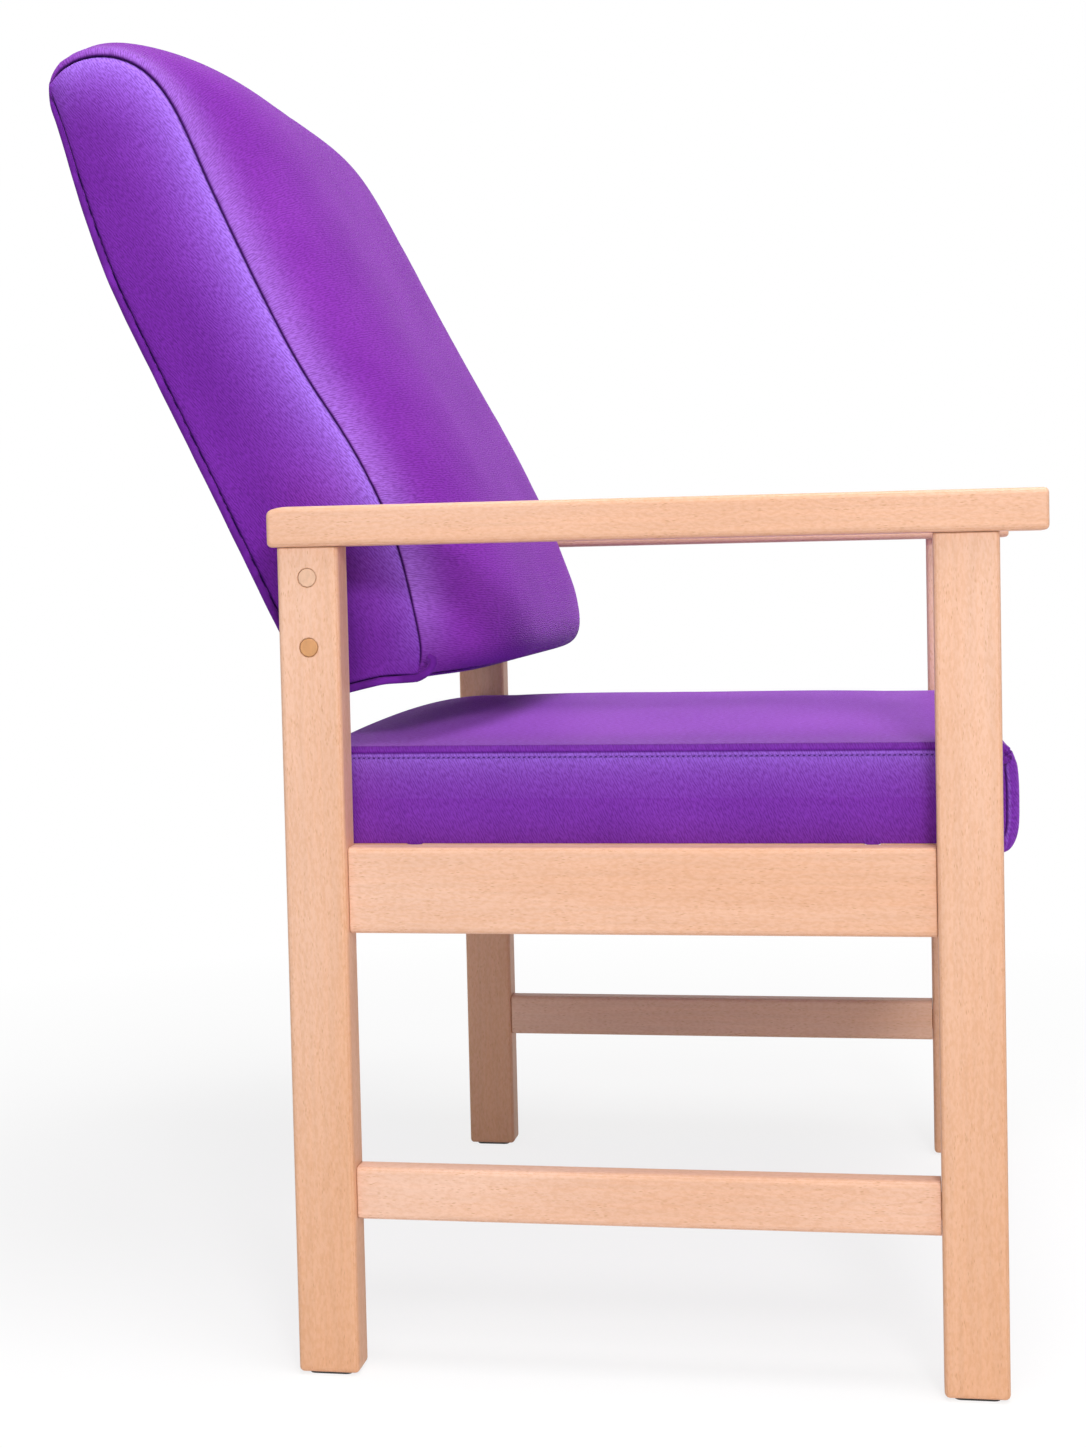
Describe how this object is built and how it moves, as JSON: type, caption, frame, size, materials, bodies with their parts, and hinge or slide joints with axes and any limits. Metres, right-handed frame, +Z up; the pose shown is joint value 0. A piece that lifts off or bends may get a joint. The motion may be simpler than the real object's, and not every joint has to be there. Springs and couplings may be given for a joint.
{
  "type": "high-back lounge chair",
  "caption": "High-back armchair with a straight-legged beech frame, flat wooden arms, a crowned box seat cushion and a reclined, rolled back cushion edged with piping.",
  "frame": {"origin": "on the floor, in the middle of the chair's bounding box", "axes": "+Z up; -Y is the way the sitter faces; +X is the sitter's left"},
  "size_m": [0.65, 0.766, 1.0467],
  "materials": {
    "beech": "clear satin lacquer over pale beech, with short darker flecks along the grain",
    "beech_end": "clear satin lacquer over turned beech caps",
    "birch_plywood": "bare sanded plywood",
    "violet_vinyl": "coated upholstery fabric with a fine pebbled grain and a soft satin sheen",
    "elastic_webbing": "woven elastic, matt",
    "zinc_plated_steel": "bright zinc plating",
    "dark_plastic": "moulded, slightly glossy"
  },
  "bodies": {
    "root": {"rear_leg_right": "beech", "rear_leg_left": "beech", "front_leg_right": "beech", "front_leg_left": "beech", "arm_right": "beech", "arm_left": "beech", "side_rail_right": "beech", "side_rail_left": "beech", "side_stretcher_right": "beech", "side_stretcher_left": "beech", "front_rail": "beech", "rear_rail": "beech", "corner_block_front_right": "beech", "corner_block_front_left": "beech", "corner_block_rear_right": "beech", "corner_block_rear_left": "beech", "seat_cleat_right": "beech", "seat_cleat_left": "beech", "back_bottom_rail": "beech", "back_middle_rail": "beech", "back_top_rail": "beech", "bolt_cap_upper_right": "beech_end", "bolt_cap_upper_left": "beech_end", "bolt_cap_lower_right": "beech_end", "bolt_cap_lower_left": "beech_end", "back_cheek_right": "birch_plywood", "back_cheek_left": "birch_plywood", "seat_board": "birch_plywood", "seat_cushion": "violet_vinyl", "back_cushion": "violet_vinyl", "back_outer_cover": "violet_vinyl", "back_piping": "violet_vinyl", "back_web_1": "elastic_webbing", "back_web_2": "elastic_webbing", "back_web_3": "elastic_webbing", "back_web_4": "elastic_webbing", "back_bolt_upper_right": "zinc_plated_steel", "back_bolt_upper_left": "zinc_plated_steel", "back_bolt_lower_right": "zinc_plated_steel", "back_bolt_lower_left": "zinc_plated_steel", "back_insert_upper_right": "zinc_plated_steel", "back_insert_upper_left": "zinc_plated_steel", "back_insert_lower_right": "zinc_plated_steel", "back_insert_lower_left": "zinc_plated_steel", "seat_screw_front_right": "zinc_plated_steel", "seat_screw_front_left": "zinc_plated_steel", "seat_screw_rear_right": "zinc_plated_steel", "seat_screw_rear_left": "zinc_plated_steel", "back_spacer_upper_right": "dark_plastic", "back_spacer_upper_left": "dark_plastic", "back_spacer_lower_right": "dark_plastic", "back_spacer_lower_left": "dark_plastic", "glide_front_right": "dark_plastic", "glide_front_left": "dark_plastic", "glide_rear_right": "dark_plastic", "glide_rear_left": "dark_plastic"}
  },
  "joints": []
}
